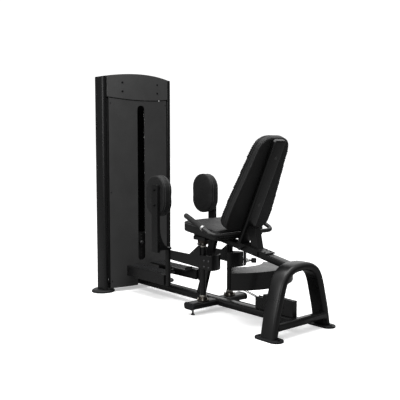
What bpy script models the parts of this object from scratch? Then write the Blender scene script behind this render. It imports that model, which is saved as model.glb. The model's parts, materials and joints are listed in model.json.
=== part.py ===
"""Hip abductor machine: weight tower, spine rail, seat and backrest, and two swinging leg arms.

Run with: blender --background --python part.py
Metres, +Z up. X is the user's left and right, +Y points from the seat to the weight tower.
The coordinates in this file have Y = 0 at the middle of the rear arch. Everything hangs on the
empty "machine_origin", which moves that point so that the finished machine stands centred on the
world origin with its feet at Z = 0.
"""

import math

import bmesh
import bpy
from mathutils import Matrix, Vector

# ---------------------------------------------------------------- driving dimensions
ORIGIN_Y = -0.7605  # world Y of the rear arch's middle plane
GAP = 0.0003  # air between two pieces that touch

TOWER_HEIGHT = 1.500
TOWER_FRONT_Y = 1.464  # front plane of the columns
TOWER_BACK_Y = 1.570
COLUMN_IN_X = 0.2555
COLUMN_OUT_X = 0.2890
TOP_EDGE_Z = 1.479  # top of the tower at the columns' inner edges; the middle is TOWER_HEIGHT
PANEL_BULGE = 0.033
PANEL_HALF_X = 0.2435
PANEL_TOP_Z = 1.334
PANEL_THICK = 0.004
SLOT_HALF_X = 0.030
SLOT_TOP_Z = 1.286
SLOT_BOTTOM_Z = 0.202
HEADER_BOTTOM_Z = 1.339
HEADER_SAG = 0.018
TOWER_FOOT_Y = 1.530
TOWER_FOOT_X = 0.262
TOWER_FOOT_R = 0.080
TOWER_FOOT_H = 0.018

STACK_FRONT_Y = 1.461
STACK_BACK_Y = 1.553
STACK_HALF_X = 0.120
STACK_ROD_Y = 1.508
STACK_BOTTOM_Z = 0.166
PLATE_H = 0.025
LOWER_PLATES = 6
UPPER_PLATES = 3
GUIDE_ROD_X = 0.085
GUIDE_ROD_R = 0.010

PULLEY_R = 0.035  # groove radius, to the cable's middle
PULLEY_Y = STACK_ROD_Y + PULLEY_R
TOP_PULLEY_Z = 1.345
CABLE_R = 0.003
CABLE_LOW_Z = 0.088
BOTTOM_PULLEY_Z = CABLE_LOW_Z + PULLEY_R
REAR_PULLEY_R = 0.024
REAR_PULLEY_Y = 0.272
REAR_PULLEY_Z = CABLE_LOW_Z + REAR_PULLEY_R

RAIL_HALF_X = 0.030
RAIL_BOTTOM_Z = 0.036
RAIL_TOP_Z = 0.079
CROSSBAR_Y = 0.645
CROSSBAR_HALF_Y = 0.043
CROSSBAR_TOP_Z = 0.075
CROSSBAR_END_X = 0.224

ARCH_HALF_Y = 0.052  # half of the flat-oval tube's long side
ARCH_TUBE_T = 0.045
ARCH_FOOT_X = 0.2140
ARCH_APEX_Z = 0.3650

SEAT_SLOPE = 0.095
SEAT_RAIL_SLOPE = 0.179
SEAT_RAIL_Z0 = 0.345  # lower edge of the seat rail at Y = SEAT_RAIL_Y0
SEAT_RAIL_Y0 = 0.095
SEAT_RAIL_H = 0.038

PIVOT_X = 0.110
PIVOT_Y = 0.645
SLEEVE_R = 0.0178
STRAP_X = 0.1335  # middle plane of the strap
STRAP_T = 0.007
DRUM_R = 0.105  # outer radius of the curved end of the strap
DRUM_END = math.radians(-37)  # where it stops, on the inner side
POST_X = 0.137
POST_Y = 0.955
POST_R = 0.0165
POST_BOTTOM_Z = 0.116
POST_TOP_Z = 0.3545

PAD_IN_X = 0.165
PAD_OUT_X = 0.2255
PAD_Y = 0.974
PAD_Z = 0.695
PAD_W = 0.185
PAD_H = 0.250

BACK_TILT = math.radians(25.2)
BACK_FOOT_Y = 0.389  # rear face of the back post at BACK_FOOT_Z
BACK_FOOT_Z = 0.460
BACK_POST_W = 0.085
BACK_POST_T = 0.030
BACK_PAD_T = 0.053

HANDLE_Y = 0.4020
HANDLE_Z = 0.5015
HANDLE_X = 0.2440
HANDLE_SLOPE = 0.41
HANDLE_TUBE_R = 0.0125
GRIP_R = 0.0150

GUARD_Y = 0.500
GUARD_R = 0.357
GUARD_IN_R = 0.179
GUARD_TOP_Z = 0.320
GUARD_BOTTOM_Z = 0.222
GUARD_HALF_ANGLE = math.radians(45)

# ---------------------------------------------------------------- a clean scene
for thing in list(bpy.data.objects):
    bpy.data.objects.remove(thing, do_unlink=True)


def material(name, colour, rough, metal=0.0):
    mat = bpy.data.materials.new(name)
    mat.use_nodes = True
    bsdf = mat.node_tree.nodes["Principled BSDF"]
    bsdf.inputs["Base Color"].default_value = (*colour, 1.0)
    bsdf.inputs["Roughness"].default_value = rough
    bsdf.inputs["Metallic"].default_value = metal
    mat.diffuse_color = (*colour, 1.0)
    return mat


# ---------------------------------------------------------------- outlines
def rounded_rect(w, h, r, n=3):
    """Closed outline, w by h, corner radius r, counter-clockwise."""
    r = min(r, w / 2 - 1e-5, h / 2 - 1e-5)
    out = []
    for cx, cy, start in (
        (w / 2 - r, h / 2 - r, 0),
        (-w / 2 + r, h / 2 - r, 90),
        (-w / 2 + r, -h / 2 + r, 180),
        (w / 2 - r, -h / 2 + r, 270),
    ):
        for i in range(n + 1):
            a = math.radians(start + 90 * i / n)
            out.append((cx + r * math.cos(a), cy + r * math.sin(a)))
    return out


def circle(r, n=16):
    return [
        (r * math.cos(2 * math.pi * i / n), r * math.sin(2 * math.pi * i / n))
        for i in range(n)
    ]


def rounded_polygon(points, radii, n=4):
    """A polygon with each corner rounded by its own radius."""
    out = []
    count = len(points)
    for i, p in enumerate(points):
        p = Vector(p)
        a = (Vector(points[i - 1]) - p).normalized()
        b = (Vector(points[(i + 1) % count]) - p).normalized()
        r = radii[i]
        if r <= 0:
            out.append(tuple(p))
            continue
        half = a.angle(b) / 2
        back = r / math.tan(half)
        centre = p + (a + b).normalized() * (r / math.sin(half))
        p0, p1 = p + a * back, p + b * back
        a0 = math.atan2((p0 - centre).y, (p0 - centre).x)
        a1 = math.atan2((p1 - centre).y, (p1 - centre).x)
        turn = (a1 - a0 + math.pi) % (2 * math.pi) - math.pi
        for k in range(n + 1):
            t = a0 + turn * k / n
            out.append((centre.x + r * math.cos(t), centre.y + r * math.sin(t)))
    return out


# ---------------------------------------------------------------- meshes
def skin(bm, rings, closed=False):
    """Bridge rings of points into a solid, with end caps unless the rings close on themselves."""
    loops = [[bm.verts.new(p) for p in ring] for ring in rings]
    n = len(loops[0])
    pairs = list(zip(loops, loops[1:]))
    if closed:
        pairs.append((loops[-1], loops[0]))
    for one, two in pairs:
        for i in range(n):
            j = (i + 1) % n
            bm.faces.new((one[i], one[j], two[j], two[i]))
    if not closed:
        bm.faces.new(loops[0])
        bm.faces.new(loops[-1])
    return bm


def sweep(path, outline, up=(0, 0, 1), scale=None):
    """An outline carried along a path, mitred at its corners. Outline x is sideways, y is along up."""
    bm = bmesh.new()
    path = [Vector(p) for p in path]
    up = Vector(up).normalized()
    rings = []
    for i, p in enumerate(path):
        before = (p - path[i - 1]).normalized() if i else None
        after = (path[i + 1] - p).normalized() if i + 1 < len(path) else None
        if before is None:
            tangent, stretch = after, 1.0
        elif after is None:
            tangent, stretch = before, 1.0
        else:
            tangent = (before + after).normalized()
            stretch = 1.0 / max(0.3, tangent.dot(before))
        side = tangent.cross(up).normalized()
        top = side.cross(tangent).normalized()
        bend = 1.0
        if before is not None and after is not None:
            turn = (after - before)
            # the mitre stretches the outline only in the plane of the bend
            bend = stretch
            in_side = abs(turn.dot(side)) >= abs(turn.dot(top))
        k = scale[i] if scale else 1.0
        ring = []
        for x, y in outline:
            sx, sy = x * k, y * k
            if before is not None and after is not None:
                if in_side:
                    sx *= bend
                else:
                    sy *= bend
            ring.append(p + side * sx + top * sy)
        rings.append(ring)
    return skin(bm, rings)


def prism(outline, axis, lo, hi):
    """An outline extruded along X, Y or Z from lo to hi. The outline is (Y,Z), (X,Z) or (X,Y)."""
    bm = bmesh.new()

    def at(p, h):
        return {"X": (h, p[0], p[1]), "Y": (p[0], h, p[1]), "Z": (p[0], p[1], h)}[axis]

    face = bm.faces.new([bm.verts.new(at(p, lo)) for p in outline])
    made = bmesh.ops.extrude_face_region(bm, geom=[face])
    move = {"X": (hi - lo, 0, 0), "Y": (0, hi - lo, 0), "Z": (0, 0, hi - lo)}[axis]
    bmesh.ops.translate(
        bm,
        vec=move,
        verts=[g for g in made["geom"] if isinstance(g, bmesh.types.BMVert)],
    )
    return bm


def box(lo, hi, bevel=0.0, segments=1):
    bm = bmesh.new()
    size = [b - a for a, b in zip(lo, hi)]
    middle = [(a + b) / 2 for a, b in zip(lo, hi)]
    bmesh.ops.create_cube(
        bm, size=1.0, matrix=Matrix.Translation(middle) @ Matrix.Diagonal((*size, 1.0))
    )
    if bevel:
        bmesh.ops.bevel(
            bm,
            geom=bm.edges[:],
            offset=bevel,
            segments=segments,
            affect="EDGES",
            profile=0.5,
        )
    return bm


def turned(profile, centre, axis="Z", n=24):
    """A closed profile of (radius, height) points spun once about an axis. Radius 0 ends on the axis."""
    bm = bmesh.new()
    turn = {
        "Z": Matrix.Identity(3),
        "X": Matrix.Rotation(math.radians(90), 3, "Y"),
        "Y": Matrix.Rotation(math.radians(-90), 3, "X"),
    }[axis] if isinstance(axis, str) else axis
    rings = []
    for r, h in profile:
        if r < 1e-7:
            rings.append([bm.verts.new(turn @ Vector((0, 0, h)) + Vector(centre))])
        else:
            rings.append(
                [
                    bm.verts.new(
                        turn
                        @ Vector(
                            (
                                r * math.cos(2 * math.pi * i / n),
                                r * math.sin(2 * math.pi * i / n),
                                h,
                            )
                        )
                        + Vector(centre)
                    )
                    for i in range(n)
                ]
            )
    count = len(rings)
    for k in range(count):
        one, two = rings[k], rings[(k + 1) % count]
        if len(one) == 1 and len(two) == 1:
            continue
        for i in range(n):
            j = (i + 1) % n
            if len(one) == 1:
                bm.faces.new((one[0], two[j], two[i]))
            elif len(two) == 1:
                bm.faces.new((one[i], one[j], two[0]))
            else:
                bm.faces.new((one[i], one[j], two[j], two[i]))
    return bm


def rod(start, end, r, n=16):
    start, end = Vector(start), Vector(end)
    up = Vector((0, 0, 1))
    if abs((end - start).normalized().dot(up)) > 0.9:
        up = Vector((0, 1, 0))
    return sweep([start, end], circle(r, n), up)


def mirrored(bm):
    other = bm.copy()
    bmesh.ops.scale(other, vec=(-1, 1, 1), verts=other.verts)
    return other


# ---------------------------------------------------------------- objects
origin = bpy.data.objects.new("machine_origin", None)
bpy.context.scene.collection.objects.link(origin)
origin.location = (0, ORIGIN_Y, 0)


def axis_empty(name, point, parent=None):
    """An empty on a joint's axis. Its point is in this file's coordinates."""
    empty = bpy.data.objects.new(name, None)
    bpy.context.scene.collection.objects.link(empty)
    empty.parent = parent or origin
    base = Vector(empty.parent.get("point", (0, 0, 0)))
    empty["point"] = tuple(point)
    empty.location = Vector(point) - base
    return empty


def solid(name, bm, mat, parent=None, helper=False):
    parent = parent or origin
    base = Vector(parent.get("point", (0, 0, 0)))
    bmesh.ops.translate(bm, vec=-base, verts=bm.verts)
    bmesh.ops.recalc_face_normals(bm, faces=bm.faces)
    mesh = bpy.data.meshes.new(name)
    bm.to_mesh(mesh)
    bm.free()
    obj = bpy.data.objects.new(name, mesh)
    bpy.context.scene.collection.objects.link(obj)
    obj.parent = parent
    if mat:
        mesh.materials.append(mat)
    if helper:
        obj.hide_render = True
        obj.display_type = "WIRE"
    else:
        mesh.shade_smooth()
        mesh.set_sharp_from_angle(angle=math.radians(35))
    return obj


def combine(obj, operation, *meshes):
    """Boolean modifiers on obj, one for each helper mesh."""
    for i, bm in enumerate(meshes):
        name = f"{obj.name}_{operation.lower()}_{len(obj.modifiers)}"
        helper = solid(name, bm, None, obj.parent, helper=True)
        mod = obj.modifiers.new(name, "BOOLEAN")
        mod.operation = operation
        mod.solver = "EXACT"
        mod.object = helper
    return obj


BLACK = material("black_powder_coat", (0.012, 0.012, 0.013), 0.42)
PANEL = material("tower_panel_paint", (0.030, 0.030, 0.032), 0.45)
VINYL = material("black_vinyl", (0.010, 0.010, 0.011), 0.50)
RUBBER = material("black_rubber", (0.012, 0.013, 0.016), 0.75)
PLASTIC = material("dark_plastic", (0.020, 0.021, 0.026), 0.45)
CHROME = material("chrome", (0.80, 0.80, 0.80), 0.15, 1.0)
BRONZE = material("bearing_steel", (0.62, 0.58, 0.52), 0.30, 1.0)
IRON = material("stack_plate", (0.020, 0.020, 0.021), 0.55)
CABLE = material("coated_cable", (0.015, 0.015, 0.016), 0.40)

# ---------------------------------------------------------------- tower
TOP_RADIUS_RISE = TOWER_HEIGHT - TOP_EDGE_Z


def tower_top(x):
    return TOWER_HEIGHT - TOP_RADIUS_RISE * (x / COLUMN_IN_X) ** 2


def bulge(x):
    return TOWER_FRONT_Y - PANEL_BULGE * (1 - (x / COLUMN_IN_X) ** 2)


def column(sign):
    w, d = COLUMN_OUT_X - COLUMN_IN_X, TOWER_BACK_Y - TOWER_FRONT_Y
    cx, cy = (COLUMN_OUT_X + COLUMN_IN_X) / 2, (TOWER_BACK_Y + TOWER_FRONT_Y) / 2
    outline = [(sign * cx + x, cy + y) for x, y in rounded_rect(w, d, 0.0145, 4)]
    bm = bmesh.new()
    low = [(x, y, TOWER_FOOT_H + GAP) for x, y in outline]
    high = [(x, y, tower_top(x)) for x, y in outline]
    return skin(bm, [low, high])


for side, sign in (("left", -1), ("right", 1)):
    solid(f"tower_column_{side}", column(sign), BLACK)
    foot = [(0, 0), (TOWER_FOOT_R, 0), (TOWER_FOOT_R, 0.010), (TOWER_FOOT_R - 0.010, TOWER_FOOT_H), (0, TOWER_FOOT_H)]
    solid(
        f"tower_foot_{side}",
        turned(foot, (sign * TOWER_FOOT_X, TOWER_FOOT_Y, 0), n=28),
        RUBBER,
    )


def curved_sheet(half_x, front, thick, low, high, steps=12):
    """A sheet whose plan follows front(x); low and high are heights as functions of x."""
    bm = bmesh.new()
    rings = []
    for i in range(steps + 1):
        x = -half_x + 2 * half_x * i / steps
        y = front(x)
        rings.append(
            [(x, y, low(x)), (x, y + thick, low(x)), (x, y + thick, high(x)), (x, y, high(x))]
        )
    return skin(bm, rings)


front_panel = solid(
    "tower_front_panel",
    curved_sheet(PANEL_HALF_X, bulge, PANEL_THICK, lambda x: 0.028, lambda x: PANEL_TOP_Z - HEADER_SAG * (1 - (x / COLUMN_IN_X) ** 2)),
    PANEL,
)
slot_height = SLOT_TOP_Z - SLOT_BOTTOM_Z
slot = [
    (x, (SLOT_TOP_Z + SLOT_BOTTOM_Z) / 2 + z)
    for x, z in rounded_rect(2 * SLOT_HALF_X, slot_height, SLOT_HALF_X - 0.001, 6)
]
combine(
    front_panel,
    "DIFFERENCE",
    prism(slot, "Y", 1.40, 1.50),
    box((-RAIL_HALF_X - 0.004, 1.40, 0.0), (RAIL_HALF_X + 0.004, 1.50, 0.100)),
)

solid(
    "tower_header",
    curved_sheet(
        COLUMN_IN_X - 0.0008,
        lambda x: bulge(x) - 0.003,
        0.018,
        lambda x: HEADER_BOTTOM_Z - HEADER_SAG * (1 - (x / COLUMN_IN_X) ** 2),
        tower_top,
        14,
    ),
    PANEL,
)

solid(
    "tower_rear_panel",
    curved_sheet(
        COLUMN_IN_X - 0.0012,
        lambda x: TOWER_BACK_Y - 0.006 + 0.034 * (1 - (x / COLUMN_IN_X) ** 2),
        0.004,
        lambda x: 0.070,
        lambda x: tower_top(x) - 0.012,
    ),
    PANEL,
)

cheek_y = (PULLEY_Y - 0.016, PULLEY_Y + 0.016)
top_beam = solid(
    "tower_top_beam",
    box((-COLUMN_IN_X + 0.001, 1.486, 1.397), (COLUMN_IN_X - 0.001, 1.534, 1.447)),
    BLACK,
)
combine(
    top_beam,
    "UNION",
    *[
        prism(
            [(cheek_y[0] - 0.012, 1.43), (cheek_y[0], TOP_PULLEY_Z - 0.012), (cheek_y[1], TOP_PULLEY_Z - 0.012), (cheek_y[1], 1.405), (cheek_y[0] + 0.004, 1.43)],
            "X",
            *sorted((s * 0.0112, s * 0.0152)),
        )
        for s in (-1, 1)
    ],
    rod((-0.0132, PULLEY_Y, TOP_PULLEY_Z), (0.0132, PULLEY_Y, TOP_PULLEY_Z), 0.0050, 10),
)

tower_base = solid(
    "tower_base",
    box((-COLUMN_IN_X + 0.001, 1.4762, 0.030), (COLUMN_IN_X - 0.001, 1.562, 0.066)),
    BLACK,
)
combine(
    tower_base,
    "UNION",
    *[
        box((min(s * 0.0112, s * 0.0152), cheek_y[0], 0.060), (max(s * 0.0112, s * 0.0152), cheek_y[1], BOTTOM_PULLEY_Z + 0.014))
        for s in (-1, 1)
    ],
    rod((-0.0132, PULLEY_Y, BOTTOM_PULLEY_Z), (0.0132, PULLEY_Y, BOTTOM_PULLEY_Z), 0.0050, 10),
)

for side, sign in (("left", -1), ("right", 1)):
    solid(
        f"guide_rod_{side}",
        rod((sign * GUIDE_ROD_X, STACK_ROD_Y, 0.0664), (sign * GUIDE_ROD_X, STACK_ROD_Y, 1.3966), GUIDE_ROD_R, 12),
        CHROME,
    )

cushion = solid("stack_cushion", box((-0.112, 1.488, 0.1460), (0.112, 1.528, STACK_BOTTOM_Z - GAP), 0.004), RUBBER)
combine(
    cushion,
    "UNION",
    *[box((min(s * 0.062, s * 0.108), 1.489, 0.0664), (max(s * 0.062, s * 0.108), 1.527, 0.150)) for s in (-1, 1)],
)
combine(
    cushion,
    "DIFFERENCE",
    box((-0.0095, 1.500, 0.10), (0.0095, 1.560, 0.20)),
    *[rod((s * GUIDE_ROD_X, STACK_ROD_Y, 0.05), (s * GUIDE_ROD_X, STACK_ROD_Y, 0.19), GUIDE_ROD_R + 0.0008, 12) for s in (-1, 1)],
    rod((0, STACK_ROD_Y, 0.10), (0, STACK_ROD_Y, 0.20), 0.0125, 12),
)

# weight stack: plates are joined by a 2 mm core between their visible edges
def plates(z0, count, half_x=STACK_HALF_X):
    profile = []
    for i in range(count):
        a, b = z0 + i * PLATE_H, z0 + (i + 1) * PLATE_H
        profile += [(half_x, a + 0.001), (half_x, b - 0.001), (half_x - 0.002, b - 0.001), (half_x - 0.002, b + 0.001)]
    profile = profile[:-2]
    outline = profile + [(-x, z) for x, z in reversed(profile)]
    return prism(outline, "Y", STACK_FRONT_Y, STACK_BACK_Y)


def rod_holes(lo, hi):
    return [
        rod((s * GUIDE_ROD_X, STACK_ROD_Y, lo), (s * GUIDE_ROD_X, STACK_ROD_Y, hi), GUIDE_ROD_R + 0.0012, 12)
        for s in (-1, 1)
    ]


stack_split_z = STACK_BOTTOM_Z + LOWER_PLATES * PLATE_H
stack_top_z = stack_split_z + UPPER_PLATES * PLATE_H
stack_lower = solid("weight_stack_lower", plates(STACK_BOTTOM_Z, LOWER_PLATES), IRON)
combine(
    stack_lower,
    "DIFFERENCE",
    *rod_holes(0.10, 0.60),
    rod((0, STACK_ROD_Y, 0.10), (0, STACK_ROD_Y, 0.60), 0.0125, 12),
)

stack_axis = axis_empty("stack_slide", (0, STACK_ROD_Y, stack_split_z))
stack_upper = solid("weight_stack_upper", plates(stack_split_z, UPPER_PLATES), IRON, stack_axis)
pin_z = stack_split_z + PLATE_H / 2
combine(
    stack_upper,
    "UNION",
    rod((0, STACK_ROD_Y, 0.190), (0, STACK_ROD_Y, stack_top_z + 0.045), 0.0110, 12),
)
combine(
    stack_upper,
    "DIFFERENCE",
    *rod_holes(0.25, 0.60),
    rod((0, STACK_ROD_Y, 0.15), (0, STACK_ROD_Y, 0.70), 0.0045, 8),
    rod((0, STACK_FRONT_Y - 0.02, pin_z), (0, STACK_FRONT_Y + 0.034, pin_z), 0.0052, 8),
)

pin_axis = axis_empty("selector_pin_slide", (0, STACK_FRONT_Y, pin_z), stack_axis)
pin_profile = [
    (0, 0.030), (0.0045, 0.029), (0.0045, -0.008), (0.0100, -0.010), (0.0135, -0.016),
    (0.0150, -0.023), (0.0135, -0.031), (0.0085, -0.036), (0, -0.037),
]
solid(
    "stack_selector_pin",
    turned(pin_profile, (0, STACK_FRONT_Y, pin_z), axis="Y", n=14),
    PLASTIC,
    pin_axis,
)


def pulley(r, centre, width=0.016, bore=0.0056, n=24):
    w = width / 2
    profile = [
        (bore, -w), (r + 0.005, -w), (r + 0.005, -w + 0.002), (r - CABLE_R - 0.0014, -0.002),
        (r - CABLE_R - 0.0014, 0.002), (r + 0.005, w - 0.002), (r + 0.005, w), (bore, w),
    ]
    return turned(profile, centre, axis="X", n=n)


for name, r, centre in (
    ("top_pulley", PULLEY_R, (0, PULLEY_Y, TOP_PULLEY_Z)),
    ("bottom_pulley", PULLEY_R, (0, PULLEY_Y, BOTTOM_PULLEY_Z)),
    ("rear_pulley", REAR_PULLEY_R, (0, REAR_PULLEY_Y, REAR_PULLEY_Z)),
):
    solid(name, pulley(r, centre), PLASTIC, axis_empty(name + "_axle", centre))

# the steel cable, from inside the selector rod to the yoke under the seat
YOKE_Y, YOKE_Z = 0.430, 0.170


def cable_points():
    pts = [(0, STACK_ROD_Y, stack_top_z + 0.030), (0, STACK_ROD_Y, 0.80), (0, STACK_ROD_Y, TOP_PULLEY_Z)]
    for i in range(1, 8):
        a = math.pi - math.pi * i / 8
        pts.append((0, PULLEY_Y + PULLEY_R * math.cos(a), TOP_PULLEY_Z + PULLEY_R * math.sin(a)))
    pts += [(0, PULLEY_Y + PULLEY_R, TOP_PULLEY_Z), (0, PULLEY_Y + PULLEY_R, 0.70), (0, PULLEY_Y + PULLEY_R, BOTTOM_PULLEY_Z)]
    for i in range(1, 5):
        a = -math.pi / 2 * i / 4
        pts.append((0, PULLEY_Y + PULLEY_R * math.cos(a), BOTTOM_PULLEY_Z + PULLEY_R * math.sin(a)))
    pts += [(0, 1.10, CABLE_LOW_Z), (0, 0.60, CABLE_LOW_Z), (0, REAR_PULLEY_Y, CABLE_LOW_Z)]
    slope = math.atan2(YOKE_Z - (REAR_PULLEY_Z + REAR_PULLEY_R), YOKE_Y - REAR_PULLEY_Y)
    end = math.radians(-270) + slope
    for i in range(1, 10):
        a = math.radians(-90) + (end - math.radians(-90)) * i / 9
        pts.append((0, REAR_PULLEY_Y + REAR_PULLEY_R * math.cos(a), REAR_PULLEY_Z + REAR_PULLEY_R * math.sin(a)))
    pts.append((0, YOKE_Y - 0.006, YOKE_Z - 0.006 * math.tan(slope)))
    return pts


solid("main_cable", sweep(cable_points(), circle(CABLE_R, 8), (1, 0, 0)), CABLE)

yoke_axis = axis_empty("yoke_slide", (0, YOKE_Y, YOKE_Z))
yoke_slope = (YOKE_Z - (REAR_PULLEY_Z + REAR_PULLEY_R)) / (YOKE_Y - REAR_PULLEY_Y)
yoke = solid("cable_yoke", box((-0.045, YOKE_Y, YOKE_Z - 0.010), (0.045, YOKE_Y + 0.022, YOKE_Z + 0.012), 0.003), CHROME, yoke_axis)
# its long socket keeps hold of the cable's end through the whole stroke
combine(yoke, "UNION", rod((0, REAR_PULLEY_Y + 0.034, YOKE_Z - (YOKE_Y - REAR_PULLEY_Y - 0.034) * yoke_slope), (0, YOKE_Y + 0.006, YOKE_Z + 0.006 * yoke_slope), 0.0065, 12))
combine(yoke, "DIFFERENCE", rod((0, REAR_PULLEY_Y + 0.010, YOKE_Z - (YOKE_Y - REAR_PULLEY_Y - 0.010) * yoke_slope), (0, YOKE_Y - 0.002, YOKE_Z - 0.002 * yoke_slope), 0.0038, 12))

# ---------------------------------------------------------------- base
base_rail = solid(
    "base_rail",
    prism(
        [(x, (RAIL_TOP_Z + RAIL_BOTTOM_Z) / 2 + z) for x, z in rounded_rect(2 * RAIL_HALF_X, RAIL_TOP_Z - RAIL_BOTTOM_Z, 0.010, 3)],
        "Y",
        -0.0055,
        1.4758,
    ),
    BLACK,
)

# the mid crossbar is welded across the rail
bar_outline = [
    (CROSSBAR_Y + y, (CROSSBAR_TOP_Z + RAIL_BOTTOM_Z) / 2 + z)
    for y, z in rounded_rect(2 * CROSSBAR_HALF_Y, CROSSBAR_TOP_Z - RAIL_BOTTOM_Z, 0.018, 4)
]
cap_outline = [
    (CROSSBAR_Y + y, (CROSSBAR_TOP_Z + RAIL_BOTTOM_Z) / 2 + z)
    for y, z in rounded_rect(2 * CROSSBAR_HALF_Y + 0.004, CROSSBAR_TOP_Z - RAIL_BOTTOM_Z + 0.003, 0.019, 4)
]
cap_inner = CROSSBAR_END_X - 0.014
levelling = [(0, 0), (0.0130, 0), (0.0130, 0.0040), (0.0060, 0.0070), (0.0060, 0.0500), (0, 0.0500)]
combine(
    base_rail,
    "UNION",
    prism(bar_outline, "X", -cap_inner, cap_inner),
    *[turned(levelling, (s * 0.191, CROSSBAR_Y, 0), n=12) for s in (-1, 1)],
)
for side, sign in (("left", -1), ("right", 1)):
    a, b = sign * (cap_inner + GAP), sign * CROSSBAR_END_X
    solid(f"crossbar_cap_{side}", prism(cap_outline, "X", min(a, b), max(a, b)), RUBBER)

# rear arch: one flat-oval tube bent like a narrow gothic arch, with a low crossbar
def arch_centre():
    """Centre line of the right leg, from the floor to the apex, as (X, Z)."""
    control = [(ARCH_FOOT_X + 0.007, -0.020), (0.1985, 0.095), (0.1805, 0.165), (0.1665, 0.215), (0.1500, 0.270), (0.1290, 0.314), (0.1010, 0.341), (0.0600, 0.3590), (0.0, ARCH_APEX_Z)]
    return control


def smooth_path(points, per=3):
    """Catmull-Rom through the points."""
    pts = [Vector(p) for p in points]
    pts = [2 * pts[0] - pts[1]] + pts + [2 * pts[-1] - pts[-2]]
    out = []
    for i in range(1, len(pts) - 2):
        p0, p1, p2, p3 = pts[i - 1], pts[i], pts[i + 1], pts[i + 2]
        for k in range(per):
            t = k / per
            out.append(
                0.5 * ((2 * p1) + (p2 - p0) * t + (2 * p0 - 5 * p1 + 4 * p2 - p3) * t * t + (3 * p1 - p0 - 3 * p2 + p3) * t ** 3)
            )
    out.append(pts[-2])
    return out


half = [(x, 0.0, z) for x, z in arch_centre()]
whole = half + [(-x, y, z) for x, y, z in reversed(half[:-1])]
arch_path = smooth_path(whole, 2)
arch = solid(
    "rear_arch",
    sweep(arch_path, rounded_rect(ARCH_TUBE_T, 2 * ARCH_HALF_Y, 0.020, 3), (0, 1, 0)),
    BLACK,
)
bar = [(-0.030 + y, 0.068 + z) for y, z in rounded_rect(0.048, 0.042, 0.012, 2)]
combine(arch, "UNION", prism(bar, "X", -0.195, 0.195))
combine(arch, "DIFFERENCE", box((-0.4, -0.2, -0.2), (0.4, 0.2, 0.0100 + GAP)))

for side, sign in (("left", -1), ("right", 1)):
    foot = [(sign * ARCH_FOOT_X + x, y) for x, y in rounded_rect(0.084, 0.178, 0.0415, 6)]
    solid(f"arch_foot_{side}", prism(foot, "Z", 0.0, 0.0100), RUBBER)

riser = solid("pulley_riser", box((-0.017, 0.010, RAIL_TOP_Z + GAP), (0.017, 0.236, 0.170), 0.002), BLACK)
combine(
    riser,
    "UNION",
    *[box((min(s * 0.0112, s * 0.0152), 0.225, RAIL_TOP_Z + GAP), (max(s * 0.0112, s * 0.0152), 0.296, 0.150)) for s in (-1, 1)],
    rod((-0.0132, REAR_PULLEY_Y, REAR_PULLEY_Z), (0.0132, REAR_PULLEY_Y, REAR_PULLEY_Z), 0.0050, 10),
)

# fan-shaped guard over the cable yoke, open underneath
def fan(inner, outer, half, steps=16):
    angles = [-math.pi / 2 - half + 2 * half * i / steps for i in range(steps + 1)]
    out = [(outer * math.cos(a), GUARD_Y + outer * math.sin(a)) for a in angles]
    out += [(inner * math.cos(a), GUARD_Y + inner * math.sin(a)) for a in reversed(angles[::2])]
    return out


guard = solid("cam_guard", prism(fan(GUARD_IN_R, GUARD_R, GUARD_HALF_ANGLE), "Z", GUARD_BOTTOM_Z, GUARD_TOP_Z), BLACK)
combine(guard, "DIFFERENCE", prism(fan(GUARD_IN_R - 0.02, GUARD_R - 0.004, GUARD_HALF_ANGLE - 0.014), "Z", GUARD_BOTTOM_Z - 0.05, GUARD_TOP_Z - 0.004))

# ---------------------------------------------------------------- seat frame
column_outline = [(0.756, RAIL_TOP_Z + GAP), (0.822, RAIL_TOP_Z + GAP), (0.696, 0.4455), (0.640, 0.4455)]
seat_column = solid("seat_column", prism(column_outline, "X", -0.012, 0.012), BLACK)
combine(seat_column, "DIFFERENCE", rod((0, 0.70, CABLE_LOW_Z), (0, 0.92, CABLE_LOW_Z), 0.0055, 8))


def rail_low(y):
    return SEAT_RAIL_Z0 + (y - SEAT_RAIL_Y0) * SEAT_RAIL_SLOPE


rail_start, rail_end = 0.0570, 0.5840
rail_section = rounded_rect(2 * RAIL_HALF_X, SEAT_RAIL_H * math.cos(math.atan(SEAT_RAIL_SLOPE)), 0.006, 2)
mid = SEAT_RAIL_H / 2
solid(
    "seat_rail",
    sweep([(0, rail_start, rail_low(rail_start) + mid), (0, rail_end, rail_low(rail_end) + mid)], rail_section),
    BLACK,
)

bridge = solid("bearing_bridge", box((-0.152, 0.5850, 0.4460), (0.152, 0.690, 0.4700), 0.004), BLACK)
pan_y0, pan_y1 = 0.470, 0.700


def seat_under(y):
    return 0.4935 + (y - 0.724) * SEAT_SLOPE


combine(
    bridge,
    "UNION",
    prism(
        [(pan_y0, seat_under(pan_y0) - 0.014), (pan_y1, seat_under(pan_y1) - 0.026), (pan_y1, seat_under(pan_y1) - GAP), (pan_y0, seat_under(pan_y0) - GAP)],
        "X",
        -0.135,
        0.135,
    ),
)
combine(bridge, "DIFFERENCE", box((-RAIL_HALF_X - 0.001, 0.40, 0.30), (RAIL_HALF_X + 0.001, 0.5845, 0.4752)))

# seat pad: a rounded outline lofted between its lower and upper edges, tilted with the pan
def seat_outline(grow=0.0):
    pts = [(-0.186 - grow, 0.748 + grow), (-0.198 - grow, 0.432 - grow), (0.198 + grow, 0.432 - grow), (0.186 + grow, 0.748 + grow)]
    return rounded_polygon(pts, [0.034, 0.030, 0.030, 0.034], 4)


def seat_loft():
    bm = bmesh.new()
    rings = []
    for grow, height in ((-0.010, 0.0), (0.0, 0.006), (0.0, 0.046), (-0.005, 0.056), (-0.016, 0.0615)):
        rings.append([(x, y, seat_under(y) + height) for x, y in seat_outline(grow)])
    return skin(bm, rings)


solid("seat_pad", seat_loft(), VINYL)

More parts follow.
